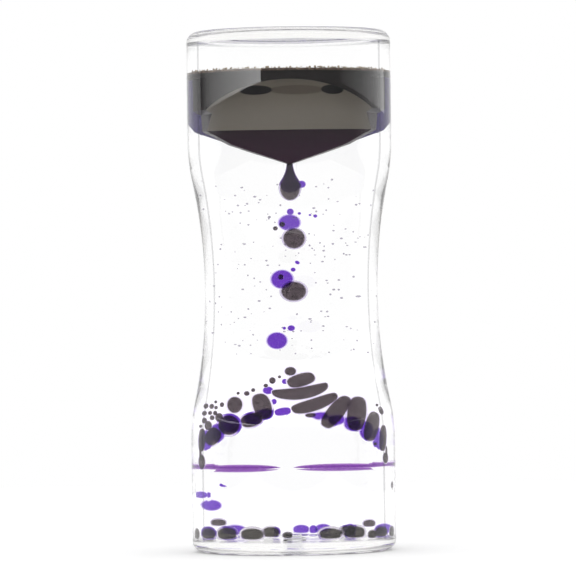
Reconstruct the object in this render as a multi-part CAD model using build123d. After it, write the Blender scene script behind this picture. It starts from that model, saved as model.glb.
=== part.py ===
from build123d import *
import math
import os

# The vessel: a round tube drawn in at the waist, split front and rear by a flat divider
HEIGHT = 140.0
END_RADIUS = 27.5
WAIST_RADIUS = 23.35
CURVED_HALF_LENGTH = 40.0
WAIST_ARC = 145.0
WALL = 2.2
DIVIDER_THICKNESS = 1.2
BOND_GAP = 0.05

# The end caps: thick discs with a rounded rim, a dished outer face and a crowned inner face
CAP_THICKNESS = 3.3
CAP_ROUND = 3.0
DISH_RADIUS = 17.0
DISH_DEPTH = 0.6
CROWN_HEIGHT = 1.5
PLUG_RADIUS = 1.6
PLUG_HEAD_RADIUS = 2.4
PLUG_HEAD_THICKNESS = 1.1
PLUG_DEPTH = 6.5
PLUG_STAND_PROUD = 0.4

# The spout and hopper of the upper end, which make the pan that the liquid drips from
ROOF_APEX = 103.4
ROOF_KINK = (12.3, 107.5)
ROOF_END = (19.0, 112.1)
SPOUT_TOP = 117.15
SPOUT_HALF_WIDTH = 19.4
GUTTER_APEX = 106.4
GUTTER_KINK = (12.3, 110.3)
GUTTER_END = (18.2, 113.1)
GUTTER_DEPTH = 4.9
HOPPER_BOTTOM = 117.45
HOPPER_HALF_WIDTH = 22.0
HOPPER_WALL = 0.8
HOPPER_SHOULDER = 118.6
HOPPER_WALL_TOP = 127.0
RAMP_FOOT = 113.1
RAMP_SLOPE = 0.644
NOZZLE_BORE_RADIUS = 1.3
NOZZLE_DEPTH = 3.2
POOL_TOP = 129.0

# Room for a boolean tool that only has to reach past the solid it cuts
BEYOND = 60.0

MIDDLE = HEIGHT / 2
RISE = END_RADIUS - WAIST_RADIUS
ARC_SUM = (CURVED_HALF_LENGTH**2 + RISE**2) / (2 * RISE)
SHOULDER_ARC = ARC_SUM - WAIST_ARC


def vessel_radius(z, inset):
    """Radius of the vessel at a height, for the surface that lies inset inside the outer one."""
    from_middle = abs(z - MIDDLE)
    tangent = CURVED_HALF_LENGTH * (WAIST_ARC + inset) / ARC_SUM
    if from_middle <= tangent:
        return WAIST_RADIUS + WAIST_ARC - math.sqrt((WAIST_ARC + inset) ** 2 - from_middle**2)
    if from_middle < CURVED_HALF_LENGTH:
        across = (SHOULDER_ARC - inset) ** 2 - (CURVED_HALF_LENGTH - from_middle) ** 2
        return END_RADIUS - SHOULDER_ARC + math.sqrt(across)
    return END_RADIUS - inset


def round_body(inset, bottom, top):
    """Solid of revolution inside the vessel's surface, inset from it, between two heights of its ends."""
    tangent = CURVED_HALF_LENGTH * (WAIST_ARC + inset) / ARC_SUM

    def side(z):
        return (vessel_radius(z, inset), z)

    def arc(start, end):
        return ThreePointArc(side(start), side((start + end) / 2), side(end))

    lower_end = MIDDLE - CURVED_HALF_LENGTH
    upper_end = MIDDLE + CURVED_HALF_LENGTH
    edges = [
        Line((0, bottom), side(bottom)),
        Line(side(bottom), side(lower_end)),
        arc(lower_end, MIDDLE - tangent),
        arc(MIDDLE - tangent, MIDDLE + tangent),
        arc(MIDDLE + tangent, upper_end),
        Line(side(upper_end), side(top)),
        Line(side(top), (0, top)),
        Line((0, top), (0, bottom)),
    ]
    return revolve(Plane.XZ * make_face(edges), Axis.Z)


def half_space(gap):
    """Block that holds everything in front of the divider, from gap before its middle plane."""
    return Pos(0, -gap - BEYOND / 2, MIDDLE) * Box(2 * BEYOND, BEYOND, 3 * BEYOND)


def to_rear(shape):
    """The same piece in the rear chamber."""
    return shape.mirror(Plane.XZ)


def to_lower(shape):
    """The same piece at the other end of the vessel."""
    return shape.mirror(Plane.XY.offset(MIDDLE))


def prism_across(points):
    """Solid with an outline in X and Z, carried through the whole depth."""
    outline = Plane.XZ * make_face(Polyline(*points, close=True))
    return extrude(outline, amount=BEYOND, both=True)


def prism_along(points):
    """Solid with an outline in depth in front of the middle plane and Z, carried through the whole width."""
    outline = Plane.YZ * make_face(Polyline(*[(-depth, z) for depth, z in points], close=True))
    return extrude(outline, amount=BEYOND, both=True)


def both_sides(points):
    """Outline through the points and their mirror images in X."""
    return points + [(-x, z) for x, z in reversed(points) if x > 0]


# Vessel shells and divider
chamber = round_body(WALL, CAP_THICKNESS, HEIGHT - CAP_THICKNESS)
vessel = round_body(0, CAP_THICKNESS, HEIGHT - CAP_THICKNESS)
front_shell = (vessel - chamber) & half_space(DIVIDER_THICKNESS / 2)
rear_shell = to_rear(front_shell)
divider_plate = vessel & Box(2 * BEYOND, DIVIDER_THICKNESS, 6 * BEYOND)


def end_cap():
    """The lower cap before its plug holes are drilled."""
    crown_edge = END_RADIUS - WALL - BOND_GAP
    edges = [
        ThreePointArc((0, DISH_DEPTH), (DISH_RADIUS / 2, DISH_DEPTH * 0.75), (DISH_RADIUS, 0)),
        Line((DISH_RADIUS, 0), (END_RADIUS - CAP_ROUND, 0)),
        RadiusArc((END_RADIUS - CAP_ROUND, 0), (END_RADIUS, CAP_ROUND), -CAP_ROUND),
        Line((END_RADIUS, CAP_ROUND), (END_RADIUS, CAP_THICKNESS)),
        Line((END_RADIUS, CAP_THICKNESS), (crown_edge, CAP_THICKNESS)),
        ThreePointArc(
            (crown_edge, CAP_THICKNESS),
            (crown_edge / 2, CAP_THICKNESS + CROWN_HEIGHT * 0.75),
            (0, CAP_THICKNESS + CROWN_HEIGHT),
        ),
        Line((0, CAP_THICKNESS + CROWN_HEIGHT), (0, DISH_DEPTH)),
    ]
    disc = revolve(Plane.XZ * make_face(edges), Axis.Z)
    groove_width = DIVIDER_THICKNESS + 2 * BOND_GAP
    groove = Pos(0, 0, CAP_THICKNESS + BEYOND / 2) * Box(2 * BEYOND, groove_width, BEYOND)
    return disc - groove


def floor_height(x, y):
    """Height of the lower cap's crowned inner face, near enough to a parabola."""
    share = math.hypot(x, y) / (END_RADIUS - WALL)
    return CAP_THICKNESS + CROWN_HEIGHT * (1 - share**2)


def upright(radius, bottom, top, depth):
    """Round bar that stands at a depth in front of the middle plane."""
    return Pos(0, -depth, (bottom + top) / 2) * Cylinder(radius, top - bottom)


def fill_plug():
    """Stepped pin pressed in from below, with its head sunk in the dished face."""
    stem_top = floor_height(0, PLUG_DEPTH) + PLUG_STAND_PROUD
    head_bottom = DISH_DEPTH
    head_top = head_bottom + PLUG_HEAD_THICKNESS
    head = upright(PLUG_HEAD_RADIUS - BOND_GAP, head_bottom, head_top, PLUG_DEPTH)
    return head + upright(PLUG_RADIUS - BOND_GAP, head_top, stem_top, PLUG_DEPTH)


def plug_hole():
    """Stepped hole for one fill plug."""
    head = upright(PLUG_HEAD_RADIUS, -1, DISH_DEPTH + PLUG_HEAD_THICKNESS, PLUG_DEPTH)
    return head + upright(PLUG_RADIUS, 0, CAP_THICKNESS + BEYOND, PLUG_DEPTH)


top_cap = to_lower(end_cap())
bottom_cap = end_cap() - plug_hole() - to_rear(plug_hole())
front_fill_plug = fill_plug()

# Spout and hopper of the upper end, front chamber
fit_in_chamber = round_body(WALL + BOND_GAP, CAP_THICKNESS, HEIGHT - CAP_THICKNESS) & half_space(
    DIVIDER_THICKNESS / 2 + BOND_GAP
)
gutter_width = SPOUT_HALF_WIDTH - HOPPER_WALL
pan_half_width = HOPPER_HALF_WIDTH - HOPPER_WALL
pan_across = prism_across(
    both_sides(
        [
            (0, GUTTER_APEX),
            GUTTER_KINK,
            GUTTER_END,
            (gutter_width, HOPPER_BOTTOM),
            (pan_half_width, HOPPER_SHOULDER),
            (pan_half_width, HEIGHT),
        ]
    )
)
ramp_reach = END_RADIUS + 1
ramp_head = RAMP_FOOT + RAMP_SLOPE * (ramp_reach - GUTTER_DEPTH)
pan_along = prism_along(
    [
        (0, 0),
        (GUTTER_DEPTH, 0),
        (GUTTER_DEPTH, RAMP_FOOT),
        (ramp_reach, ramp_head),
        (ramp_reach, HEIGHT),
        (0, HEIGHT),
    ]
)
pan_space = pan_across & pan_along


def spout():
    """Clear block with a V-shaped roof below, a gutter against the divider above, and the drip nozzle."""
    roof = prism_across(
        both_sides([(0, ROOF_APEX), ROOF_KINK, ROOF_END, (SPOUT_HALF_WIDTH, SPOUT_TOP)])
    )
    bore = upright(NOZZLE_BORE_RADIUS, ROOF_APEX - 1, GUTTER_APEX + 2, NOZZLE_DEPTH)
    block = roof & fit_in_chamber
    return block - pan_space - bore


def hopper():
    """Clear wedge whose sloping face leads the liquid to the gutter, with a thin wall at each side passage."""
    half = HOPPER_HALF_WIDTH
    block = prism_across(both_sides([(half, HOPPER_BOTTOM), (half, HEIGHT - CAP_THICKNESS - 2)]))
    over_walls = Pos(0, 0, HOPPER_WALL_TOP + BEYOND / 2)
    side_room = over_walls * (Box(4 * half, BEYOND, BEYOND) - Box(2 * pan_half_width, BEYOND, BEYOND))
    return (block & fit_in_chamber) - pan_space - side_room


def pool():
    """Liquid held over the spout: it fills the pan and stands just over its side walls."""
    in_pan = pan_space & fit_in_chamber
    brim = Pos(0, 0, (HOPPER_WALL_TOP + POOL_TOP) / 2) * Box(
        2 * BEYOND, 2 * BEYOND, POOL_TOP - HOPPER_WALL_TOP
    )
    below_top = Pos(0, 0, POOL_TOP - BEYOND / 2) * Box(2 * BEYOND, 2 * BEYOND, BEYOND)
    return (in_pan & below_top) + ((brim & fit_in_chamber) - hopper_block)


spout_block = spout()
hopper_block = hopper()
liquid_pool = pool()


# Drops of liquid: each is a solid turned about its own long axis
def quarter_egg(half_width, height):
    """Curve from the axis at a height to the widest place at height nothing, near enough to an ellipse."""
    pull = 0.5523
    return Bezier(
        (0, height),
        (pull * half_width, height),
        (half_width, pull * height),
        (half_width, 0),
    )


def blob(x, y, z, half_width, half_height, tilt=0):
    """Egg-round drop, its long axis leaning towards +X by tilt degrees from upright."""
    lower = quarter_egg(half_width, -half_height)
    upper = quarter_egg(half_width, half_height)
    half = make_face([lower, upper, Line((0, half_height), (0, -half_height))])
    return Pos(x, y, z) * Rot(0, tilt, 0) * revolve(Plane.XZ * half, Axis.Z)


def resting(x, y, half_width, half_height):
    """Flattened drop that lies on the crowned floor of the lower cap."""
    lift = 0.1
    return blob(x, y, floor_height(x, y) + half_height + lift, half_width, half_height)


def teardrop(x, y, z, half_width, half_height, neck_top, neck_radius):
    """Drop that still hangs by a neck: a half egg below its widest place, a drawn-out neck above."""
    tall = neck_top - z
    shoulder = 0.38 * tall
    lower = quarter_egg(half_width, -half_height)
    neck = Bezier((half_width, 0), (half_width, shoulder), (neck_radius, shoulder), (neck_radius, tall))
    top = Line((neck_radius, tall), (0, tall))
    half = make_face([lower, neck, top, Line((0, tall), (0, -half_height))])
    return Pos(x, y, z) * revolve(Plane.XZ * half, Axis.Z)


def group(solids):
    """Separate solids kept together in one node."""
    return Compound(children=list(solids))


def row_of(make, rows):
    """One node from a list of drops."""
    return group(make(*row) for row in rows)


NOZZLE_Y = -NOZZLE_DEPTH

# Drops that fall down the front chamber, and the small ones that follow each of them
black_drop_1 = teardrop(0, NOZZLE_Y, 98.7, 2.35, 3.6, 106.0, 0.6)
black_drop_2 = row_of(
    blob,
    [(0.7, -3.4, 85.1, 2.4, 2.95), (-1.7, -2.6, 88.6, 0.65, 0.8), (-3.1, -2.6, 87.5, 0.55, 0.65)],
)
black_drop_3 = row_of(blob, [(0.5, -3.8, 70.8, 2.8, 2.95), (-2.1, -2.2, 73.9, 0.6, 0.8)])

# Drops that fall down the rear chamber
purple_drop_1 = teardrop(0.2, -NOZZLE_Y, 99.9, 2.3, 2.5, 106.0, 0.55)
purple_drop_2 = row_of(
    blob,
    [
        (-0.2, 3.4, 89.3, 2.15, 2.0),
        (0, 3.4, 92.4, 0.7, 0.95),
        (1.7, 3.4, 91.9, 0.35, 0.4),
        (3.7, 3.4, 91.4, 0.28, 0.3),
        (4.7, 3.4, 91.1, 0.4, 0.5),
    ],
)
purple_drop_3 = row_of(
    blob,
    [
        (-1.7, 3.4, 73.6, 2.2, 2.6),
        (0.4, 3.4, 76.0, 0.5, 0.6),
        (1.2, 3.4, 78.0, 0.6, 0.45, 60),
    ],
)
purple_drop_4 = row_of(
    blob,
    [
        (-2.8, 3.4, 56.8, 2.0, 2.35),
        (-0.1, 3.4, 59.5, 0.75, 0.85),
        (-1.4, 3.4, 59.5, 0.35, 0.45),
    ],
)
purple_settling_drops = row_of(
    blob, [(-16.4, 8, 15.0, 1.9, 1.35), (-15.3, 8, 12.0, 1.75, 1.35), (-12.4, 8, 17.9, 0.7, 0.6)]
)

# Drops heaped on the roof of the lower spout, front chamber
black_heap_right = row_of(
    blob,
    [
        (-0.4, -4.0, 49.1, 1.3, 1.4),
        (1.7, -4.0, 46.6, 1.75, 2.9, 72),
        (1.8, -4.0, 43.0, 1.6, 5.9, 80),
        (4.9, -4.0, 40.0, 1.45, 5.2, 71),
        (8.7, -4.0, 37.7, 1.9, 4.1, 42),
        (13.6, -4.4, 37.6, 2.5, 4.1, 12),
        (17.2, -4.4, 34.3, 1.75, 3.6, 15),
        (20.3, -4.0, 31.3, 1.2, 3.3, 5),
        (3.6, -3.0, 37.0, 1.3, 0.75),
        (20.0, -4.0, 38.2, 0.8, 1.1, -30),
        (18.5, -3.0, 39.4, 0.45, 0.4),
        (17.4, -2.0, 29.9, 0.5, 0.5),
    ],
)
black_heap_left = row_of(
    blob,
    [
        (-12.3, -4.0, 39.9, 2.0, 2.35),
        (-6.4, -4.2, 39.6, 2.2, 3.5, -14),
        (-13.7, -4.6, 34.8, 2.6, 2.5, -30),
        (-8.6, -4.0, 35.9, 1.5, 2.1, 72),
        (-17.6, -4.0, 31.4, 1.8, 2.2, 40),
        (-21.0, -3.6, 31.7, 1.0, 2.3),
    ],
)
black_heap_beads = row_of(
    blob,
    [
        (-19.9, -4.5, 39.9, 0.9, 0.75),
        (-18.1, -4.5, 39.7, 0.7, 0.65),
        (-17.0, -4.5, 40.8, 0.45, 0.45),
        (-15.4, -4.5, 40.0, 0.6, 0.7),
        (-16.5, -3.0, 39.2, 0.5, 0.5),
        (-20.3, -4.5, 38.1, 0.95, 0.75),
        (-18.5, -4.5, 38.1, 0.65, 0.6),
        (-17.1, -4.5, 38.0, 0.6, 0.65),
        (-19.8, -4.5, 35.8, 0.95, 0.85),
        (-17.9, -4.5, 35.8, 0.85, 0.85),
        (-21.3, -4.0, 34.9, 0.65, 0.5),
        (-4.2, -4.5, 46.4, 0.8, 1.0),
        (-5.6, -4.5, 45.0, 0.55, 0.6),
        (-9.7, -4.5, 42.9, 0.7, 0.75),
        (-8.3, -4.5, 43.8, 0.5, 0.6),
        (-11.6, -4.5, 43.0, 0.4, 0.45),
        (-2.7, -4.5, 47.4, 0.4, 0.45),
    ],
)
black_side_drips = row_of(blob, [(-21.4, -4.5, 25.7, 1.4, 2.2), (21.3, -4.5, 25.9, 1.2, 1.7)])

# Drops heaped on the roof of the lower spout, rear chamber
purple_heap = row_of(
    blob,
    [
        (-4.6, 4.0, 43.1, 1.1, 1.2),
        (-1.4, 4.0, 45.6, 0.65, 0.8),
        (-1.9, 4.0, 37.5, 0.95, 1.6, 78),
        (-3.5, 4.0, 39.9, 0.55, 0.8),
        (-4.9, 7.5, 36.7, 1.5, 1.2),
        (-7.8, 4.0, 35.7, 1.6, 1.3),
        (-12.0, 4.4, 34.6, 2.3, 1.7),
        (-16.2, 4.0, 32.1, 1.7, 1.5),
        (-19.6, 4.0, 29.9, 1.2, 1.6),
        (5.6, 4.0, 36.3, 2.1, 1.1),
        (10.2, 4.0, 34.9, 1.9, 1.2),
        (14.2, 4.0, 33.1, 1.7, 1.3),
        (17.9, 4.0, 31.2, 1.5, 1.6),
    ],
)

# Purple liquid caught beside the lower spout, and in the seam between it and the hopper
purple_wall_streaks = row_of(
    blob,
    [(-23.3, 4.5, 30.5, 0.9, 5.3), (23.3, 4.5, 30.0, 0.9, 3.6), (23.5, 3.5, 22.6, 0.8, 2.6)],
)


def seam_film(x, half_width, half_depth):
    """Thin sheet of liquid that lies in the lower seam of the rear chamber."""
    thickness = 0.2
    middle_y = 16.6
    seam = HEIGHT - (SPOUT_TOP + HOPPER_BOTTOM) / 2
    sheet = extrude(Ellipse(half_width, half_depth), amount=thickness / 2, both=True)
    return Pos(x, middle_y, seam) * sheet


purple_seam_film = row_of(seam_film, [(-8.0, 6.2, 5.2), (7.0, 7.2, 5.2)])

# Drops that have come to lie on the floor of the lower cap
black_floor_drops = row_of(
    resting,
    [
        (-23.0, -3.0, 1.1, 1.2),
        (-20.3, -7.7, 1.9, 1.3),
        (-16.0, -13.5, 2.9, 1.6),
        (-10.8, -18.5, 2.9, 1.5),
        (-7.0, -12.0, 1.9, 1.3),
        (-1.6, -16.0, 1.1, 0.8),
        (9.6, -19.0, 3.0, 1.5),
        (15.2, -14.6, 2.6, 1.6),
        (12.5, -8.5, 1.9, 1.3),
        (18.9, -11.3, 0.9, 0.9),
        (20.6, -7.5, 2.0, 1.1),
        (23.0, -3.0, 1.1, 1.3),
    ],
)
black_resting_drops = row_of(
    blob, [(-18.4, -12.0, 8.6, 2.5, 1.15), (17.0, -7.5, 7.7, 1.8, 1.1), (23.5, -3.0, 17.6, 0.7, 0.9)]
)
purple_floor_drops = row_of(
    resting,
    [
        (-15.4, 7.5, 1.3, 1.3),
        (-10.5, 8.0, 2.1, 1.4),
        (-3.2, 7.2, 0.7, 0.9),
        (1.2, 10.2, 1.5, 1.2),
        (3.5, 5.6, 0.8, 1.1),
        (5.0, 9.6, 1.5, 1.3),
        (9.9, 8.0, 1.1, 1.3),
        (16.0, 7.5, 1.7, 1.4),
    ],
)


def mist(count):
    """Fine droplets spread through both chambers' middle by turning a fixed angle from each to the next."""
    golden_turn = 2.39996
    low = 54.0
    high = 100.0
    for number in range(count):
        share = (number + 0.5) / count
        z = low + (high - low) * ((number * 0.618) % 1)
        reach = 8.0 + (vessel_radius(z, WALL) - 10.5) * share
        turn = number * golden_turn
        x = reach * math.cos(turn)
        y = reach * math.sin(turn)
        if abs(y) > 1.5:
            yield Pos(x, y, z) * Sphere(0.16 + 0.12 * (number * 0.37 % 1))


mist_droplets = group(mist(44))

NODES = {
    "front_shell": front_shell,
    "rear_shell": rear_shell,
    "divider_plate": divider_plate,
    "top_cap": top_cap,
    "bottom_cap": bottom_cap,
    "front_fill_plug": front_fill_plug,
    "rear_fill_plug": to_rear(front_fill_plug),
    "upper_front_spout": spout_block,
    "upper_rear_spout": to_rear(spout_block),
    "lower_front_spout": to_lower(spout_block),
    "lower_rear_spout": to_lower(to_rear(spout_block)),
    "upper_front_hopper": hopper_block,
    "upper_rear_hopper": to_rear(hopper_block),
    "lower_front_hopper": to_lower(hopper_block),
    "lower_rear_hopper": to_lower(to_rear(hopper_block)),
    "black_pool": liquid_pool,
    "purple_pool": to_rear(liquid_pool),
    "black_drop_1": black_drop_1,
    "black_drop_2": black_drop_2,
    "black_drop_3": black_drop_3,
    "purple_drop_1": purple_drop_1,
    "purple_drop_2": purple_drop_2,
    "purple_drop_3": purple_drop_3,
    "purple_drop_4": purple_drop_4,
    "purple_settling_drops": purple_settling_drops,
    "black_heap_right": black_heap_right,
    "black_heap_left": black_heap_left,
    "black_heap_beads": black_heap_beads,
    "black_side_drips": black_side_drips,
    "purple_heap": purple_heap,
    "purple_wall_streaks": purple_wall_streaks,
    "purple_seam_film": purple_seam_film,
    "black_floor_drops": black_floor_drops,
    "black_resting_drops": black_resting_drops,
    "purple_floor_drops": purple_floor_drops,
    "mist_droplets": mist_droplets,
}

os.makedirs("parts", exist_ok=True)
for name, shape in NODES.items():
    export_step(shape, f"parts/{name}.step")
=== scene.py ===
import math

import bmesh
import bpy
import numpy as np
from mathutils import Matrix, Vector


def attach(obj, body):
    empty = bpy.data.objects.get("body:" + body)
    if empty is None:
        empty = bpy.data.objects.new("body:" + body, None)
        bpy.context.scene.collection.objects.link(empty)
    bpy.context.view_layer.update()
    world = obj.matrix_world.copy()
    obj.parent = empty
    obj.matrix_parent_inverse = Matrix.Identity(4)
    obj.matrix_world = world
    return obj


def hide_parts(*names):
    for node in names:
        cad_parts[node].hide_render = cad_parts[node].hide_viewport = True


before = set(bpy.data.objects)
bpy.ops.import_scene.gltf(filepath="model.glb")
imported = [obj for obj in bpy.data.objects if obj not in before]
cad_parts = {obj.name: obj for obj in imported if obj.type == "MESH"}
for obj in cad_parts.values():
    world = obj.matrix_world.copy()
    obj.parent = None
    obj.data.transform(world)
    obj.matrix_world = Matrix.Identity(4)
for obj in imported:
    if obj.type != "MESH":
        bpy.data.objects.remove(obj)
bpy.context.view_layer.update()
scene = bpy.context.scene
scene.view_settings.view_transform = "Standard"

# Camera: in front of the timer and level with its middle. The timer leans a little to the left in the
# picture, so the camera leans to the right. Light passes many clear faces, and runs along inside the divider,
# so many bounces are followed.
MM = 0.001
CAMERA_HEIGHT = 69 * MM
VIEW_DISTANCE = 1300 * MM
VIEW_HEIGHT = 155.3 * MM
AIM_POINT = Vector((-0.88, 0, 70.8)) * MM
VIEW_ROLL = math.radians(0.73)
SENSOR_WIDTH = 36
view_down = math.atan2(CAMERA_HEIGHT - AIM_POINT.z, VIEW_DISTANCE)
view_length = VIEW_DISTANCE / math.cos(view_down)
forward = Vector((0, math.cos(view_down), -math.sin(view_down)))
upright = Vector((0, math.sin(view_down), math.cos(view_down)))
sideways = Vector((1, 0, 0))
camera_up = upright * math.cos(VIEW_ROLL) + sideways * math.sin(VIEW_ROLL)
camera_right = sideways * math.cos(VIEW_ROLL) - upright * math.sin(VIEW_ROLL)
lens_data = bpy.data.cameras.new("camera")
lens_data.sensor_width = SENSOR_WIDTH
lens_data.lens = SENSOR_WIDTH * view_length / VIEW_HEIGHT
lens_data.clip_start = 0.05
lens_data.clip_end = 50
camera = bpy.data.objects.new("camera", lens_data)
scene.collection.objects.link(camera)
camera_axes = Matrix((camera_right, camera_up, -forward)).transposed().to_4x4()
camera.matrix_world = Matrix.Translation(AIM_POINT - forward * view_length) @ camera_axes
scene.camera = camera
scene.cycles.max_bounces = 64
scene.cycles.transmission_bounces = 40
scene.cycles.glossy_bounces = 48
scene.cycles.transparent_max_bounces = 64

# Surroundings: an even white room. Straight reflections see a dimmer one, as in a white tent whose front
# side, where the camera stands, is darker. What is seen through clear parts is a touch brighter than white.
ROOM_IN_REFLECTIONS = 0.25
FRONT_TO_BACK = (-0.25, 0.35)
SEEN_THROUGH_EXTRA = 0.03


def node_of(tree, kind, values=(), **settings):
    """Adds a shader node. Settings are its options. Values are numbers or links, by socket name or number."""
    node = tree.nodes.new(kind)
    for key, value in settings.items():
        setattr(node, key, value)
    for key, value in dict(values).items():
        if isinstance(value, bpy.types.NodeSocket):
            tree.links.new(value, node.inputs[key])
        else:
            node.inputs[key].default_value = value
    return node


class Sum:
    """A number in a shader, so that its maths reads as plain sums."""

    def __init__(self, tree, socket):
        self.tree = tree
        self.socket = socket

    def step(self, operation, *values):
        node = self.tree.nodes.new("ShaderNodeMath")
        node.operation = operation
        for place_in, value in zip(node.inputs, values):
            if isinstance(value, Sum):
                self.tree.links.new(value.socket, place_in)
            else:
                place_in.default_value = value
        return Sum(self.tree, node.outputs[0])

    def __add__(self, other):
        return self.step("ADD", self, other)

    def __radd__(self, other):
        return self.step("ADD", other, self)

    def __sub__(self, other):
        return self.step("SUBTRACT", self, other)

    def __rsub__(self, other):
        return self.step("SUBTRACT", other, self)

    def __mul__(self, other):
        return self.step("MULTIPLY", self, other)

    def __truediv__(self, other):
        return self.step("DIVIDE", self, other)

    def __pow__(self, other):
        return self.step("POWER", self, other)

    def size(self):
        return self.step("ABSOLUTE", self)

    def ramp(self, low, high):
        """0 at low, 1 at high, and between them a smooth rise."""
        values = {0: self.socket, 1: low, 2: high}
        node = node_of(self.tree, "ShaderNodeMapRange", values, interpolation_type="SMOOTHSTEP")
        return Sum(self.tree, node.outputs[0])


world = bpy.data.worlds.new("white_room")
scene.world = world
world.use_nodes = True
room = world.node_tree
room.nodes.clear()
ray = node_of(room, "ShaderNodeLightPath").outputs
through = Sum(room, ray["Is Transmission Ray"])
reflected = Sum(room, ray["Is Glossy Ray"]) * (1 - through)
way = node_of(room, "ShaderNodeTexCoord").outputs["Generated"]
across = node_of(room, "ShaderNodeSeparateXYZ", {0: way}).outputs
towards_back = Sum(room, across[1]).ramp(*FRONT_TO_BACK)
room_dip = reflected * (1 - towards_back) * (1 - ROOM_IN_REFLECTIONS)
room_strength = 1 + through * SEEN_THROUGH_EXTRA - room_dip
room_light = node_of(room, "ShaderNodeBackground", {0: (1, 1, 1, 1), 1: room_strength.socket})
node_of(room, "ShaderNodeOutputWorld", {0: room_light.outputs[0]})

# Table: a matt white surface under the timer. It gives off a little light of its own, so that it stays white
# and keeps only the timer's soft shadow. It isn't part of the object.
TABLE_HALF = 0.45


def material_of(name):
    """A new empty material and its node tree."""
    material = bpy.data.materials.new(name)
    material.use_nodes = True
    material.node_tree.nodes.clear()
    return material, material.node_tree


def finish_material(tree, shader):
    node_of(tree, "ShaderNodeOutputMaterial", {0: shader})


def principled(tree, **sockets):
    """Shader of one Principled node. Names of sockets are written with underscores."""
    values = {key.replace("_", " "): value for key, value in sockets.items()}
    return node_of(tree, "ShaderNodeBsdfPrincipled", values).outputs[0]


def surface(name, **sockets):
    """Material of one Principled node."""
    material, tree = material_of(name)
    finish_material(tree, principled(tree, **sockets))
    return material


def add_mesh(name, verts, faces, materials, face_material=None, sharp=35):
    """Object from arrays of points, in m, and faces. Edges bent by more than sharp degrees stay crisp."""
    mesh = bpy.data.meshes.new(name)
    mesh.from_pydata(np.asarray(verts, float).tolist(), [], [list(f) for f in faces])
    for material in materials:
        mesh.materials.append(material)
    if face_material is not None:
        mesh.polygons.foreach_set("material_index", np.asarray(face_material, np.int32))
    mesh.polygons.foreach_set("use_smooth", np.ones(len(mesh.polygons), bool))
    mesh.set_sharp_from_angle(angle=math.radians(sharp))
    mesh.validate()
    mesh.update()
    made = bpy.data.objects.new(name, mesh)
    scene.collection.objects.link(made)
    return made


white_table = surface(
    "white_table", Base_Color=(0.95, 0.95, 0.95, 1), Roughness=0.9, Specular_IOR_Level=0.0,
    Emission_Color=(1, 1, 1, 1), Emission_Strength=0.18,
)
table_corners = [(x * TABLE_HALF, y * TABLE_HALF, 0) for x, y in ((-1, -1), (1, -1), (1, 1), (-1, 1))]
table = add_mesh("table", table_corners, [(0, 1, 2, 3)], [white_table])

# Soft boxes: two curved panels of light, one at each side, which show only as the grey sheens on the vessel's
# upper left and right. They are lamps of the studio, not part of the object. Their lengths are in m.
PANEL_POINTS = 9
PANEL_DISTANCE = 0.9
PANEL_TOP = 0.1702


def coordinates(tree):
    """Object coordinates in mm: x, y, z."""
    place_in = node_of(tree, "ShaderNodeTexCoord").outputs["Object"]
    parts = node_of(tree, "ShaderNodeSeparateXYZ", {0: place_in})
    return [Sum(tree, part) * (1 / MM) for part in parts.outputs]


def grid_faces(rows, columns, start=0):
    """Four-sided faces of a grid of points, row after row."""
    row, column = np.meshgrid(np.arange(rows - 1), np.arange(columns - 1), indexing="ij")
    corner = (start + row * columns + column).ravel()
    return np.stack([corner, corner + 1, corner + columns + 1, corner + columns], 1)


def soft_box(name, bearing, spread, low, radiance):
    """Upright panel around the vessel. Bearings are in degrees from straight in front, positive to the right.
    Along the bearing, its lower edge's height and its radiance each go evenly from one value to another."""
    start = bearing - spread / 2
    turn = np.radians(np.linspace(start, start + spread, PANEL_POINTS))
    x = PANEL_DISTANCE * np.sin(turn)
    y = -PANEL_DISTANCE * np.cos(turn)
    edges = (np.linspace(*low, PANEL_POINTS), np.full(PANEL_POINTS, PANEL_TOP))
    verts = np.concatenate([np.stack([x, y, edge], 1) for edge in edges])
    material, tree = material_of(name)
    right, back = coordinates(tree)[:2]
    share = (right.step("ARCTAN2", right, 0.0 - back) - math.radians(start)) / math.radians(spread)
    strength = radiance[0] + share * (radiance[1] - radiance[0])
    light = node_of(tree, "ShaderNodeEmission", {0: (1, 1, 1, 1), 1: strength.socket})
    finish_material(tree, light.outputs[0])
    panel = add_mesh(name, verts, grid_faces(2, PANEL_POINTS), [material])
    for kind in ("camera", "diffuse", "transmission", "shadow", "volume_scatter"):
        setattr(panel, f"visible_{kind}", False)


soft_box("left_soft_box", -74, 86, (0.15, 0.164), (0.1, 6.5))
soft_box("right_soft_box", 97, 75, (0.1635, 0.15), (0.5, 2.6))

# Clear acrylic of the vessel: faces in air bend light from air, faces in the carrier liquid only as much as
# the two differ, and bonded faces not at all. The shells' thin darker line, where their inner wall shows, is
# painted shade.
ACRYLIC = 1.49
CARRIER = 1.37
ACRYLIC_COLOUR = (0.997, 0.997, 0.998)
WALL_LINE = 0.54
WALL_LINE_FADE = (0.008, 0.026)
WALL_SHADE_COLOUR = (0.5, 0.5, 0.51)
IN_AIR, IN_LIQUID, BONDED = range(3)


def blend(tree, share, low, high):
    """Colour that goes from low to high with a share. Either may be a link."""
    node = node_of(tree, "ShaderNodeMix", {0: share.socket}, data_type="RGBA")
    for number, colour in ((6, low), (7, high)):
        if isinstance(colour, bpy.types.NodeSocket):
            tree.links.new(colour, node.inputs[number])
        else:
            node.inputs[number].default_value = (*colour, 1)
    return node.outputs[2]


def edge_on(tree):
    """0 where a surface is seen straight on, 1 where it is seen edge on."""
    return Sum(tree, node_of(tree, "ShaderNodeLayerWeight", {0: 0.5}).outputs["Facing"])


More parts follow.
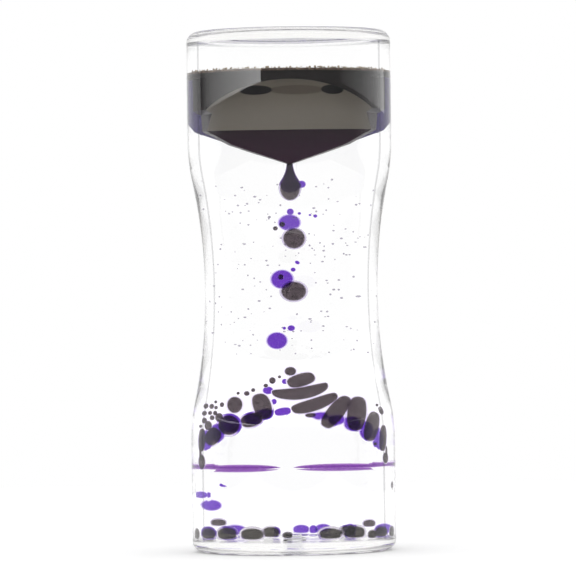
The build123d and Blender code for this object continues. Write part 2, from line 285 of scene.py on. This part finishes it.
def glass_shader(tree, colour, ior, roughness=0.0):
    """Clear glass, acrylic or liquid. The colour is the share of light that each face lets through."""
    return principled(tree, Base_Color=colour, Roughness=roughness, IOR=ior, Transmission_Weight=1.0)


def glass(name, colour, ior, roughness=0.0):
    """Material of clear glass, acrylic or liquid, the same all over."""
    material, tree = material_of(name)
    finish_material(tree, glass_shader(tree, (*colour, 1), ior, roughness))
    return material


in_air = glass("acrylic_in_air", ACRYLIC_COLOUR, ACRYLIC)
# Painted shade: the shells' outer faces darken in a thin line where seen at the slant of the inner wall's
# edge.
shell_in_air, tree = material_of("shell_in_air")
painted_wall_shade = 1 - (edge_on(tree) - WALL_LINE).size().ramp(*WALL_LINE_FADE)
finish_material(tree, glass_shader(tree, blend(tree, painted_wall_shade, ACRYLIC_COLOUR, WALL_SHADE_COLOUR), ACRYLIC))
in_liquid = glass("acrylic_in_liquid", (1, 1, 1), ACRYLIC / CARRIER)
bonded, tree = material_of("bonded_joint")
finish_material(tree, node_of(tree, "ShaderNodeBsdfTransparent", {0: (1, 1, 1, 1)}).outputs[0])

# Vessel shells: two clear half tubes of acrylic, drawn in at the waist, bonded along their edges to the flat
# divider between them and at both ends to the caps.
END_RADIUS = 27.5
WAIST_RADIUS = 23.35
CURVED_HALF = 40.0
WAIST_ARC = 145.0
WALL = 2.2
MIDDLE = 70.0
RISE = END_RADIUS - WAIST_RADIUS
ARC_SUM = (CURVED_HALF**2 + RISE**2) / (2 * RISE)
SHOULDER_ARC = ARC_SUM - WAIST_ARC
CAP_LINE = 3.3
DIVIDER_HALF = 0.6
ROWS = 141
COLUMNS = 241
HEIGHTS = np.linspace(CAP_LINE, 2 * MIDDLE - CAP_LINE, ROWS)


def place(made, body, slot, *nodes):
    """Ties a piece to its CAD body and to the CAD nodes that it stands for, which it hides. Its material slot
    is not used.
    """
    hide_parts(*nodes)
    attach(made, body)
    return made


def vessel_radius(z, inset=0.0):
    """Radius at a height, in mm: a hollow arc at the waist, then a rounded shoulder arc, then straight."""
    away = np.abs(z - MIDDLE)
    tangent = CURVED_HALF * (WAIST_ARC + inset) / ARC_SUM
    waist = WAIST_RADIUS + WAIST_ARC - np.sqrt((WAIST_ARC + inset) ** 2 - np.minimum(away, tangent) ** 2)
    down = np.clip(CURVED_HALF - away, 0, CURVED_HALF - tangent)
    shoulder = END_RADIUS - SHOULDER_ARC + np.sqrt((SHOULDER_ARC - inset) ** 2 - down**2)
    return np.where(away <= tangent, waist, shoulder)


def half_shell(node, side):
    """Half tube on one side of the divider: outer and inner surface, bonded edges and bonded end rings."""
    grids = []
    for inset in (0.0, WALL):
        radius = vessel_radius(HEIGHTS, inset)[:, None]
        start = np.arcsin(DIVIDER_HALF / radius)
        turn = start + (np.pi - 2 * start) * np.linspace(0, 1, COLUMNS)
        x = radius * np.cos(turn)
        y = side * radius * np.sin(turn)
        z = np.broadcast_to(HEIGHTS[:, None], x.shape)
        grids.append(np.stack([x, y, z], 2).reshape(-1, 3))
    count = ROWS * COLUMNS
    index = np.arange(count).reshape(ROWS, COLUMNS)

    def strip(line):
        """Faces between a line of points on the outer surface and the same line on the inner one."""
        return np.stack([line[:-1], line[:-1] + count, line[1:] + count, line[1:]], 1)

    outer = grid_faces(ROWS, COLUMNS)
    inner = grid_faces(ROWS, COLUMNS, count)[:, ::-1]
    edges = np.concatenate(
        [strip(index[:, 0]), strip(index[:, -1])[:, ::-1], strip(index[0])[:, ::-1], strip(index[-1])]
    )
    faces = np.concatenate([outer, inner, edges])
    if side < 0:
        faces = faces[:, ::-1]
    kinds = np.repeat([IN_AIR, IN_LIQUID, BONDED], [len(outer), len(inner), len(edges)])
    verts = np.concatenate(grids) * MM
    made = add_mesh(node + "_wall", verts, faces, [shell_in_air, in_liquid, bonded], kinds)
    place(made, "vessel", "clear_acrylic", node)


half_shell("front_shell", -1)
half_shell("rear_shell", 1)

# Divider: a flat clear acrylic plate through the middle, which keeps the two chambers apart. It is bonded
# between the shells, its two edges flush with the outside of the vessel.
plate_half = np.sqrt(vessel_radius(HEIGHTS) ** 2 - DIVIDER_HALF**2)
chamber_half = np.sqrt(vessel_radius(HEIGHTS, WALL) ** 2 - DIVIDER_HALF**2)
stations = [-plate_half, -chamber_half, chamber_half, plate_half]
outline = [(x, -DIVIDER_HALF) for x in stations] + [(x, DIVIDER_HALF) for x in reversed(stations)]
corners = len(outline)
verts = np.stack([np.stack([x, np.full(ROWS, y), HEIGHTS], 1) for x, y in outline], 1).reshape(-1, 3)
faces = []
kinds = []
for side, kind in enumerate([BONDED, IN_LIQUID, BONDED, IN_AIR] * 2):
    after = (side + 1) % corners
    for row in range(0, (ROWS - 1) * corners, corners):
        faces.append((row + side, row + after, row + corners + after, row + corners + side))
        kinds.append(kind)
for row, upward in ((0, False), ((ROWS - 1) * corners, True)):
    for ring in ((0, 1, 6, 7), (1, 2, 5, 6), (2, 3, 4, 5)):
        face = [row + corner for corner in ring]
        faces.append(face if upward else face[::-1])
        kinds.append(BONDED)
plate = add_mesh("divider", verts * MM, faces, [in_air, in_liquid, bonded], kinds)
place(plate, "vessel", "clear_acrylic", "divider_plate")

# End caps: thick clear acrylic discs with rounded rims, bonded over both ends. Their outer faces are in air
# and a little dull, the crowned inner ones in the liquid. A groove in each holds the divider, and two holes
# in the bottom one hold the fill plugs.
CROWN_EDGE = 25.3
GROOVE_HALF = 0.66
PLUG_Y = 6.5
PLUG_HOLE = 2.45
HOLE_FOOT = 0.65
MARGIN = 0.05
MERGE = 0.0005
CAD_SHARP = 25
cap_in_air = glass("cap_in_air", (0.985, 0.98, 0.97), ACRYLIC, roughness=0.1)


def cad_copy(node, name, materials, kind_of=None, shrink=0.0):
    """Merged copy of a CAD node, drawn in by shrink mm. kind_of takes the middles, in mm, and normals of the
    faces and gives each face's material."""
    mesh = bpy.data.meshes.new_from_object(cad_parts[node])
    mesh.name = name
    work = bmesh.new()
    work.from_mesh(mesh)
    bmesh.ops.remove_doubles(work, verts=work.verts, dist=MERGE * MM)
    work.normal_update()
    if shrink:
        for vert in work.verts:
            vert.co -= vert.normal * shrink * MM
    work.to_mesh(mesh)
    work.free()
    mesh.materials.clear()
    for material in materials:
        mesh.materials.append(material)
    count = len(mesh.polygons)
    if kind_of:
        middles = np.zeros(count * 3)
        normals = np.zeros(count * 3)
        mesh.polygons.foreach_get("center", middles)
        mesh.polygons.foreach_get("normal", normals)
        kinds = kind_of(middles.reshape(-1, 3) / MM, normals.reshape(-1, 3))
        mesh.polygons.foreach_set("material_index", np.asarray(kinds, np.int32))
    if "custom_normal" in mesh.attributes:
        mesh.attributes.remove(mesh.attributes["custom_normal"])
    mesh.polygons.foreach_set("use_smooth", np.ones(count, bool))
    mesh.set_sharp_from_angle(angle=math.radians(CAD_SHARP))
    mesh.update()
    made = bpy.data.objects.new(name, mesh)
    scene.collection.objects.link(made)
    return made


def cap_kinds(on_top):
    """Kinds of faces for one cap. The top cap is the bottom one turned over, but has no fill holes."""

    def kind_of(middles, normals):
        x, y, z = middles.T
        z = 2 * MIDDLE - z if on_top else z
        inside = z > CAP_LINE - 0.01
        in_hole = (np.hypot(x, np.abs(y) - PLUG_Y) < PLUG_HOLE) & (not on_top)
        kinds = np.where(inside, IN_LIQUID, IN_AIR)
        kinds[inside & (np.hypot(x, y) > CROWN_EDGE - MARGIN)] = BONDED
        kinds[inside & (np.abs(y) < GROOVE_HALF)] = BONDED
        kinds[in_hole & (z > HOLE_FOOT) & (np.abs(normals[:, 2]) < 0.9)] = BONDED
        return kinds

    return kind_of


for node, on_top in (("bottom_cap", False), ("top_cap", True)):
    cap = cad_copy(node, node + "_disc", [cap_in_air, in_liquid, bonded], cap_kinds(on_top))
    place(cap, "vessel", "clear_acrylic", node)

# Fill plugs: clear moulded pins, pressed into the bottom cap after filling, one for each chamber. They are a
# little cloudier than the cap.
plug_clear = glass("plug_clear", (0.9, 0.9, 0.92), ior=1.04)
for node in ("front_fill_plug", "rear_fill_plug"):
    place(cad_copy(node, node + "_pin", [plug_clear]), "vessel", "clear_plug", node)

# Spouts and hoppers: clear moulded blocks fitted inside both ends, one pair for each chamber and end. Liquid
# touches them on every side, which hides them almost wholly.
insert_clear = glass("insert_clear", (0.995, 0.995, 0.998), ior=1.012)


def insert_kinds(middles, normals):
    """Faces that run along the depth are drawn as bonded (1), because the photo shows no glints of them.
    Upright side walls and faces across the depth stay clear plastic (0)."""
    along_depth = np.abs(normals[:, 1]) < 0.05
    upright_side = np.abs(normals[:, 0]) > 0.9
    return np.where(along_depth & ~upright_side, 1, 0)


for end in ("upper", "lower"):
    for side in ("front", "rear"):
        for kind in ("spout", "hopper"):
            node = f"{end}_{side}_{kind}"
            insert = cad_copy(node, node + "_block", [insert_clear, bonded], insert_kinds)
            place(insert, "vessel", "clear_insert", node)

# Pools: the liquid not yet dripped, which lies on the upper spouts and hoppers. The dark one is too deep to
# see through. It has fine froth at its top and a purple tinge lower down. Its grey on the hopper's sloping
# face, lighter lower down, with a brown band and two dark patches, is painted reflection; its dark rim there,
# painted shade.
LIQUID_IOR = 1.01
POOL_TOP = 129.0
POOL_GAP = 0.05
SLOPE = 0.644
FROTH_SCALE = 2300.0
FROTH_DEPTH = (0.75, 0.35)
TINGE_HEIGHTS = (124.0, 104.0)
REFLECTION_HEIGHTS = (116.0, 125.0)
BAND_Z = 123.3
BAND_HALF = 1.3
BROWN_REFLECTION_BAND = (2.0, 7.5)
DARK_REFLECTION_PATCHES = ((-8.3, 4.5), (11.0, 3.2))
SLOPE_RIM_SHADE = (24.85, 25.05)
GUTTER_TOP = 112.9
GUTTER_HALF = 18.2
GUTTER_SINK = (0.5, 1.2)
slope_normal = np.array([0, -SLOPE, -1.0]) / math.hypot(SLOPE, 1.0)

pool_black, tree = material_of("pool_black")
z = coordinates(tree)[2]
place_in = node_of(tree, "ShaderNodeTexCoord").outputs["Object"]
froth = node_of(tree, "ShaderNodeTexVoronoi", {"Vector": place_in, "Scale": FROTH_SCALE})
bubbles = Sum(tree, froth.outputs["Distance"]).ramp(0.25, 0.6)
tan = blend(tree, bubbles, (0.36, 0.27, 0.2), (0.08, 0.055, 0.045))
dark = blend(tree, z.ramp(*TINGE_HEIGHTS), (0.017, 0.014, 0.014), (0.036, 0.013, 0.03))
froth_height = z.ramp(*(POOL_TOP - depth for depth in FROTH_DEPTH))
colour = blend(tree, froth_height, dark, tan)
finish_material(tree, principled(tree, Base_Color=colour, Roughness=0.35, Specular_IOR_Level=0.1))

# The slope face: its grey, band and patches are a painted reflection, and its rim by the wall is painted
# shade.
slope_painted_reflection, tree = material_of("slope_painted_reflection")
x, y, z = coordinates(tree)
colour = blend(tree, z.ramp(*REFLECTION_HEIGHTS), (0.27, 0.245, 0.21), (0.21, 0.185, 0.15))
from_band = ((z - BAND_Z) / BAND_HALF) ** 2


def reflection_patch(middle, half):
    """1 in the middle of a lens-shaped patch of the painted reflection's band, 0 at its edge."""
    return 1 - ((x - middle) / half) ** 2 - from_band


colour = blend(tree, reflection_patch(*BROWN_REFLECTION_BAND).ramp(0.0, 0.35), colour, (0.15, 0.125, 0.1))
for patch in DARK_REFLECTION_PATCHES:
    colour = blend(tree, reflection_patch(*patch).ramp(0.0, 0.3), colour, (0.018, 0.016, 0.017))
to_axis = (x * x + y * y) ** 0.5
colour = blend(tree, to_axis.ramp(*SLOPE_RIM_SHADE), colour, (0.03, 0.03, 0.03))
finish_material(tree, principled(tree, Base_Color=colour, Roughness=0.6, Specular_IOR_Level=0.1))

pool_top, tree = material_of("pool_top")
still = principled(tree, Base_Color=(0.004, 0.004, 0.005, 1), Roughness=0.1)
mirror = principled(tree, Base_Color=(1, 1, 1, 1), Metallic=1.0, Roughness=0.02)
mirror_share = edge_on(tree).ramp(0.80, 0.86)
top_shader = node_of(tree, "ShaderNodeMixShader", {0: mirror_share.socket, 1: still, 2: mirror})
finish_material(tree, top_shader.outputs[0])
pool_purple = glass("pool_purple", (0.02, 0.008, 0.1), LIQUID_IOR)


def pool_kinds(middles, normals):
    """Dark body (0), the face on the hopper's slope (1) and the top (2)."""
    kinds = np.where(normals @ slope_normal > 0.99, 1, 0)
    kinds[normals[:, 2] > 0.95] = 2
    return kinds


def deepen(pool):
    """Lowers the V-shaped bottom of the gutter nearly to the roof, most in the middle."""
    points = np.zeros(len(pool.data.vertices) * 3)
    pool.data.vertices.foreach_get("co", points)
    points = points.reshape(-1, 3) / MM
    share = np.clip(1 - np.abs(points[:, 0]) / GUTTER_HALF, 0, 1)
    points[:, 2] -= np.where(points[:, 2] < GUTTER_TOP, GUTTER_SINK[0] + GUTTER_SINK[1] * share, 0)
    pool.data.vertices.foreach_set("co", points.ravel() * MM)
    pool.data.update()


pool = cad_copy("black_pool", "black_liquid_above", [pool_black, slope_painted_reflection, pool_top], pool_kinds, POOL_GAP)
deepen(pool)
place(pool, "vessel", "black_liquid", "black_pool")
pool = cad_copy("purple_pool", "purple_liquid_above", [pool_purple], None, POOL_GAP)
place(pool, "vessel", "purple_liquid", "purple_pool")

# Hanging drops: heavy tinted liquid, drawn out below the two nozzles. Light goes straight through the middle
# of a drop; its paler rim, where light would glance off, is a painted highlight.
NECK_TOP = 106.0


def liquid(name, middle, rim, rim_start=0.55, rim_end=0.98):
    """Tinted clear liquid: middle is the share of light let through, rim the same where seen edge on, paler
    as a painted highlight.
    """
    material, tree = material_of(name)
    colour = blend(tree, edge_on(tree).ramp(rim_start, rim_end), middle, rim)
    finish_material(tree, glass_shader(tree, colour, LIQUID_IOR))
    return material


def lathe_faces(rings, around, start):
    """Faces of a surface of revolution whose first and last points are single poles."""
    turn = np.arange(around)
    after = (turn + 1) % around
    ring = start + 1 + np.arange(rings - 1)[:, None] * around
    near, far = ring + turn, ring + after
    body = np.stack([near, far, far + around, near + around], 2).reshape(-1, 4)
    last = start + 1 + (rings - 1) * around
    end = last + around
    first_cap = [(start, start + 1 + b, start + 1 + a) for a, b in zip(turn, after)]
    last_cap = [(end, last + a, last + b) for a, b in zip(turn, after)]
    return body.tolist() + first_cap + last_cap


def turned(radii, heights, tilt, centre, around, bend=0.0):
    """Points of a solid turned on its long axis, which then leans towards +X by tilt degrees. The first and
    the last are poles. A parabola, bend times half the length high, carries both ends sideways."""
    turn = np.arange(around) * 2 * np.pi / around
    x = radii[1:-1, None] * np.cos(turn)
    y = radii[1:-1, None] * np.sin(turn)
    z = np.broadcast_to(heights[1:-1, None], x.shape)
    ring = np.stack([x, y, z], 2).reshape(-1, 3)
    points = np.concatenate([[(0, 0, heights[0])], ring, [(0, 0, heights[-1])]])
    reach = np.abs(heights).max()
    points[:, 0] += bend * reach * ((points[:, 2] / reach) ** 2 - 0.35)
    lean = math.radians(tilt)
    x = points[:, 0] * math.cos(lean) + points[:, 2] * math.sin(lean)
    z = points[:, 2] * math.cos(lean) - points[:, 0] * math.sin(lean)
    return np.stack([x, points[:, 1], z], 1) + np.asarray(centre)


def eggs(name, rows, material, body, slot, node, flat=False, plump=1.0, rings=22, around=36):
    """One piece of many drops: rows of x, y, z, half width, half height, in mm, and where they lean, degrees
    and bend. Flat ones are domes, whose lower half is squared off. Where drops lean, a plump below 1 makes
    their ends blunter."""
    verts = []
    faces = []
    start = 0
    turn = np.linspace(np.pi, 0, rings + 1)
    for row in rows:
        x, y, z, half_width, half_height = row[:5]
        tilt = row[5] if len(row) > 5 else 0
        bend = row[6] if len(row) > 6 else 0
        across = np.maximum(np.sin(turn), 0) ** (plump if tilt else 1.0)
        up = np.cos(turn)
        if flat:
            across = np.where(up < 0, across**0.45, across)
            up = np.where(up < 0, -(np.abs(up) ** 0.7), up)
        across[[0, -1]] = 0
        points = turned(half_width * across, half_height * up, tilt, (x, y, z), around, bend)
        verts.append(points)
        faces += lathe_faces(rings - 1, around, start)
        start += len(points)
    made = add_mesh(name, np.concatenate(verts) * MM, faces, [material], sharp=180)
    return place(made, body, slot, node)


def teardrop(name, centre, half_width, half_height, neck_radius, material, slot, node):
    """Drop that hangs by a drawn-out neck: half an egg below, and above it a cubic curve up to the neck's
    end, which has the neck's radius."""
    around = 48
    below = np.linspace(np.pi, np.pi / 2, 16)
    tall = NECK_TOP - centre[2]
    shoulder = 0.38 * tall
    share = np.linspace(0, 1, 30)[1:]
    rest = 1 - share
    radii = half_width * (rest**3 + 3 * share * rest**2) + neck_radius * (3 * share**2 * rest + share**3)
    heights = 3 * share * rest**2 * shoulder + 3 * share**2 * rest * shoulder + share**3 * tall
    radii = np.concatenate([half_width * np.sin(below), radii, [0]])
    heights = np.concatenate([half_height * np.cos(below), heights, [tall]])
    radii[0] = 0
    points = turned(radii, heights, 0, centre, around)
    made = add_mesh(name, points * MM, lathe_faces(len(radii) - 2, around, 0), [material], sharp=60)
    return place(made, node, slot, node)


black_liquid = liquid("black_liquid", (0.091, 0.072, 0.082), (0.68, 0.62, 0.78), 0.36, 0.6)
purple_liquid = liquid("purple_liquid", (0.145, 0.042, 0.491), (0.72, 0.62, 0.95), 0.4, 0.66)
# The hanging purple drop takes a darker copy of the purple liquid; the darkening is painted shade.
shaded_purple = liquid("shaded_purple", (0.13, 0.055, 0.26), (0.6, 0.5, 0.85))
teardrop(
    "black_hanging_drop", (0, -3.2, 98.7), 2.35, 3.6, 0.6, black_liquid, "black_liquid", "black_drop_1"
)
teardrop(
    "purple_hanging_drop", (0.1, 3.2, 99.9), 1.75, 2.1, 0.5, shaded_purple, "purple_liquid", "purple_drop_1"
)
BEAD = [(2.2, 3.2, 100.2, 0.85, 1.05)]
eggs("purple_hanging_bead", BEAD, purple_liquid, "purple_drop_1", "purple_liquid", "purple_drop_1")

# Falling drops, each with the small ones that follow it. The same two liquids as above: the black ones are in
# front of the divider, the purple ones behind it.
FALLING = {
    "black_drop_2": [
        (0.7, -3.4, 84.6, 2.6, 3.1), (-1.7, -2.6, 88.6, 0.65, 0.8), (-3.1, -2.6, 87.5, 0.55, 0.65),
    ],
    "black_drop_3": [(0.5, -3.8, 69.9, 3.0, 3.05), (-2.1, -2.2, 73.9, 0.6, 0.8)],
    "purple_drop_2": [
        (-0.2, 3.4, 89.3, 2.25, 2.45), (0, 3.4, 92.4, 0.7, 0.95), (1.7, 3.4, 91.9, 0.35, 0.4),
        (3.7, 3.4, 91.4, 0.28, 0.3), (4.7, 3.4, 91.1, 0.4, 0.5),
    ],
    "purple_drop_3": [
        (-1.7, 3.4, 73.3, 2.3, 2.8), (0.4, 3.4, 76.0, 0.5, 0.6), (1.2, 3.4, 78.0, 0.6, 0.45, 60),
    ],
    "purple_drop_4": [
        (-2.8, 3.4, 56.0, 2.1, 2.5), (-0.1, 3.4, 59.5, 0.75, 0.85), (-1.4, 3.4, 59.5, 0.35, 0.45),
    ],
    "purple_settling_drops": [
        (-16.4, 8, 15.2, 1.3, 1.0), (-14.6, 8, 12.4, 1.9, 1.6), (-12.4, 8, 17.9, 0.8, 0.6),
    ],
}
LOOKS = {"black": ("black_liquid", black_liquid), "purple": ("purple_liquid", purple_liquid)}
for node, rows in FALLING.items():
    slot, material = LOOKS[node.split("_")[0]]
    eggs(node + "_liquid", rows, material, node, slot, node)

# Heaps on the roof of the lower spout: drops of the same liquids that have landed and lie pressed together
# before they merge. Their pale rims are a painted highlight, for light between them. They lie lower than
# their solids, by the sink.
HEAP_SINK = 1.25
HEAPS = {
    "black_heap_right": [
        (-0.4, -4.0, 48.9, 1.4, 1.4), (1.8, -4.0, 46.4, 2.1, 3.2, 68), (1.7, -4.0, 43.1, 2.0, 6.1, 80, -0.2),
        (4.7, -4.0, 39.9, 1.85, 5.3, 68, -0.1), (9.1, -4.0, 37.9, 2.2, 4.7, 36),
        (13.7, -4.4, 37.5, 2.6, 4.4, 8), (17.3, -4.4, 34.3, 2.1, 3.8, 16), (20.3, -4.0, 31.3, 1.3, 3.4, 5),
        (3.6, -3.0, 37.0, 1.3, 0.75), (20.0, -4.0, 38.2, 0.8, 1.1, -30), (18.5, -3.0, 39.4, 0.45, 0.4),
        (17.4, -2.0, 29.9, 0.5, 0.5),
    ],
    "black_heap_left": [
        (-12.3, -4.0, 39.9, 2.0, 2.35), (-6.4, -4.2, 39.5, 2.3, 3.5, -14), (-13.7, -4.2, 35.0, 2.9, 2.8),
        (-8.6, -3.6, 36.1, 1.9, 2.5, 72), (-17.6, -4.0, 32.3, 2.2, 2.5, 40), (-20.7, -3.6, 31.4, 1.3, 3.0, 4),
        (-16.0, -4.2, 36.9, 1.1, 1.2), (-18.9, -4.2, 35.0, 1.2, 1.3),
    ],
    "black_heap_beads": [
        (-19.9, -4.5, 39.9, 0.9, 0.8), (-18.1, -4.5, 39.7, 0.75, 0.75), (-17.0, -4.5, 40.8, 0.45, 0.45),
        (-15.4, -4.5, 40.0, 0.6, 0.7), (-16.5, -3.0, 39.2, 0.5, 0.5), (-20.3, -4.5, 38.1, 0.95, 0.75),
        (-18.5, -4.5, 38.1, 0.65, 0.6), (-17.1, -4.5, 38.0, 0.6, 0.65), (-20.2, -4.5, 36.3, 0.95, 0.85),
        (-17.9, -4.5, 36.9, 0.75, 0.7), (-21.3, -4.0, 34.9, 0.65, 0.5), (-4.2, -4.5, 46.4, 0.8, 1.0),
        (-5.6, -4.5, 45.0, 0.55, 0.6), (-9.7, -4.5, 42.9, 0.7, 0.75), (-8.3, -4.5, 43.8, 0.5, 0.6),
        (-11.6, -4.5, 43.0, 0.4, 0.45), (-2.7, -4.5, 47.4, 0.4, 0.45),
    ],
    "black_side_drips": [
        (-21.2, -4.5, 25.7, 1.35, 2.1), (-21.6, -4.5, 28.0, 0.5, 1.9),
        (21.3, -4.5, 26.1, 1.1, 1.6), (21.6, -4.5, 27.8, 0.45, 1.6),
    ],
    "purple_heap": [
        (-4.6, 4.0, 43.1, 1.1, 1.2), (-1.4, 4.0, 45.6, 0.65, 0.8), (-1.9, 4.0, 37.5, 0.95, 1.6, 78),
        (-3.5, 4.0, 39.9, 0.55, 0.8), (-4.9, 7.5, 36.9, 1.5, 1.2), (-7.6, 4.0, 35.9, 1.8, 1.5),
        (-11.6, 4.4, 34.9, 2.3, 2.2), (-14.4, 4.0, 32.9, 1.7, 2.2), (-16.8, 4.0, 31.0, 1.4, 2.6),
        (5.2, 4.0, 36.4, 1.8, 1.1), (8.2, 4.0, 35.5, 1.8, 1.4), (11.2, 4.0, 34.6, 1.8, 1.8),
        (13.9, 4.0, 33.0, 1.5, 2.2), (16.3, 4.0, 30.9, 1.3, 2.8),
    ],
}
heap_black = liquid("heap_black", (0.091, 0.072, 0.082), (0.84, 0.78, 0.94), 0.36, 0.54)
heap_purple = liquid("heap_purple", (0.145, 0.042, 0.491), (0.8, 0.7, 0.96), 0.38, 0.58)
HEAP_LOOKS = {"black": ("black_liquid", heap_black), "purple": ("purple_liquid", heap_purple)}
for node, rows in HEAPS.items():
    slot, material = HEAP_LOOKS[node.split("_")[0]]
    settled = [(*row[:2], row[2] - HEAP_SINK, *row[3:]) for row in rows]
    eggs(node + "_drops", settled, material, "vessel", slot, node, plump=0.62)

# Purple liquid drawn thin, and paler for it: streaks on the walls beside the lower spout, and a film that has
# crept into the seam under the spout, in two flat lenses.
STREAKS = [(-23.3, 4.5, 30.5, 0.9, 5.3), (23.3, 4.5, 30.0, 0.9, 3.6), (23.5, 3.5, 22.6, 0.8, 2.6)]
FILM = [(-8.0, 16.4, 22.7, 6.0, 1.05), (7.0, 15.6, 22.7, 7.0, 1.05)]
thin_purple = liquid("thin_purple", (0.42, 0.3, 0.78), (0.6, 0.5, 0.85))
film_purple = liquid("film_purple", (0.2, 0.05, 0.36), (0.6, 0.45, 0.75))
eggs("purple_streaks", STREAKS, thin_purple, "vessel", "purple_liquid", "purple_wall_streaks")
eggs("purple_film", FILM, film_purple, "vessel", "purple_liquid", "purple_seam_film")

# Drops on the floor of the lower cap: the same liquids as flattened domes, which lie side by side on its
# crowned inner face. Two more dark ones rest above these, and one clings to the wall.
CROWN_RISE = 1.5
FLOOR_GAP = 0.1
FLOOR_BLACK = [
    (-23.0, -3.0, 1.3, 1.5), (-20.4, -7.9, 2.5, 1.7), (-16.3, -13.4, 3.0, 1.9), (-10.4, -18.3, 3.3, 1.9),
    (-5.4, -13.2, 2.3, 1.6), (-1.6, -16.0, 1.3, 0.9), (8.9, -19.0, 3.3, 1.8), (14.8, -14.9, 3.0, 1.9),
    (11.7, -8.5, 2.1, 1.5), (19.0, -12.0, 1.5, 1.2), (20.6, -7.5, 2.3, 1.6), (23.0, -3.0, 1.3, 1.5),
]
FLOOR_PURPLE = [
    (-15.4, 7.5, 1.3, 1.3), (-10.5, 8.0, 2.1, 1.4), (-3.2, 7.2, 0.7, 0.9), (1.2, 10.2, 1.5, 1.2),
    (3.5, 5.6, 0.8, 1.1), (5.0, 9.6, 1.5, 1.3), (9.9, 8.0, 1.1, 1.3), (16.0, 7.5, 1.7, 1.4),
]
RESTING = [(-18.4, -12.0, 8.6, 2.5, 1.15), (17.0, -7.5, 7.7, 1.8, 1.1), (23.5, -3.0, 17.6, 0.7, 0.9)]


def on_floor(rows):
    """Rows of x, y, half width and half height, set on the crowned floor. The floor's height falls with the
    square of the distance from the axis."""
    settled = []
    for x, y, wide, high in rows:
        floor = CAP_LINE + CROWN_RISE * (1 - (math.hypot(x, y) / CROWN_EDGE) ** 2)
        settled.append((x, y, floor + high + FLOOR_GAP, wide, high))
    return settled


floor_black = liquid("floor_black", (0.062, 0.056, 0.05), (0.68, 0.64, 0.72), 0.34, 0.58)
for name, rows, material, slot, node in (
    ("black_domes", on_floor(FLOOR_BLACK), floor_black, "black_liquid", "black_floor_drops"),
    ("purple_domes", on_floor(FLOOR_PURPLE), purple_liquid, "purple_liquid", "purple_floor_drops"),
    ("black_top_domes", RESTING, black_liquid, "black_liquid", "black_resting_drops"),
):
    eggs(name, rows, material, "vessel", slot, node, flat=True)

# Froth: a rim of tiny tan bubbles that floats on the dark pool along the wall. Their places and sizes are
# random, but the same each time.
FROTH = 150
FROTH_TURN = 76
FROTH_REACH = 24.7
FROTH_RADII = (0.12, 0.36)
chance = np.random.default_rng(3)
turn = np.radians(np.linspace(-FROTH_TURN, FROTH_TURN, FROTH) + chance.uniform(-0.6, 0.6, FROTH))
size = chance.uniform(*FROTH_RADII, FROTH)
reach = FROTH_REACH - chance.uniform(0, 0.5, FROTH)
z = POOL_TOP + chance.uniform(-0.25, 0.3, FROTH)
rows = np.stack([reach * np.sin(turn), -reach * np.cos(turn), z, size, size], 1).tolist()
froth_skin = surface("froth_skin", Base_Color=(0.62, 0.52, 0.4, 1), Roughness=0.5, Specular_IOR_Level=0.3)
eggs("black_froth", rows, froth_skin, "vessel", "black_liquid", "black_pool", rings=8, around=12)

# Mist: the finest droplets, left in the clear liquid where drops broke up, and too small to sink while one
# watches. None is drawn in the divider or in the way of the falling drops.
MIST = 300
CLEAR_OF_DIVIDER = 1.5
CLEAR_OF_AXIS = 8.0
MIST_HEIGHTS = (52.0, 101.0)
MIST_REACH = (0.25, 0.93)
chance = np.random.default_rng(7)
z = chance.uniform(*MIST_HEIGHTS, MIST)
turn = chance.uniform(0, 2 * np.pi, MIST)
reach = chance.uniform(*MIST_REACH, MIST) * vessel_radius(z, WALL)
x = reach * np.cos(turn)
y = reach * np.sin(turn)
size = 0.11 + 0.17 * (np.arange(MIST) * 0.37 % 1)
kept = (np.abs(y) > CLEAR_OF_DIVIDER) & (reach > CLEAR_OF_AXIS)
rows = np.stack([x, y, z, size, size], 1)[kept].tolist()
mist_liquid = glass("mist_liquid", (0.45, 0.42, 0.5), ior=1.02)
eggs("mist", rows, mist_liquid, "vessel", "black_liquid", "mist_droplets", rings=8, around=12)
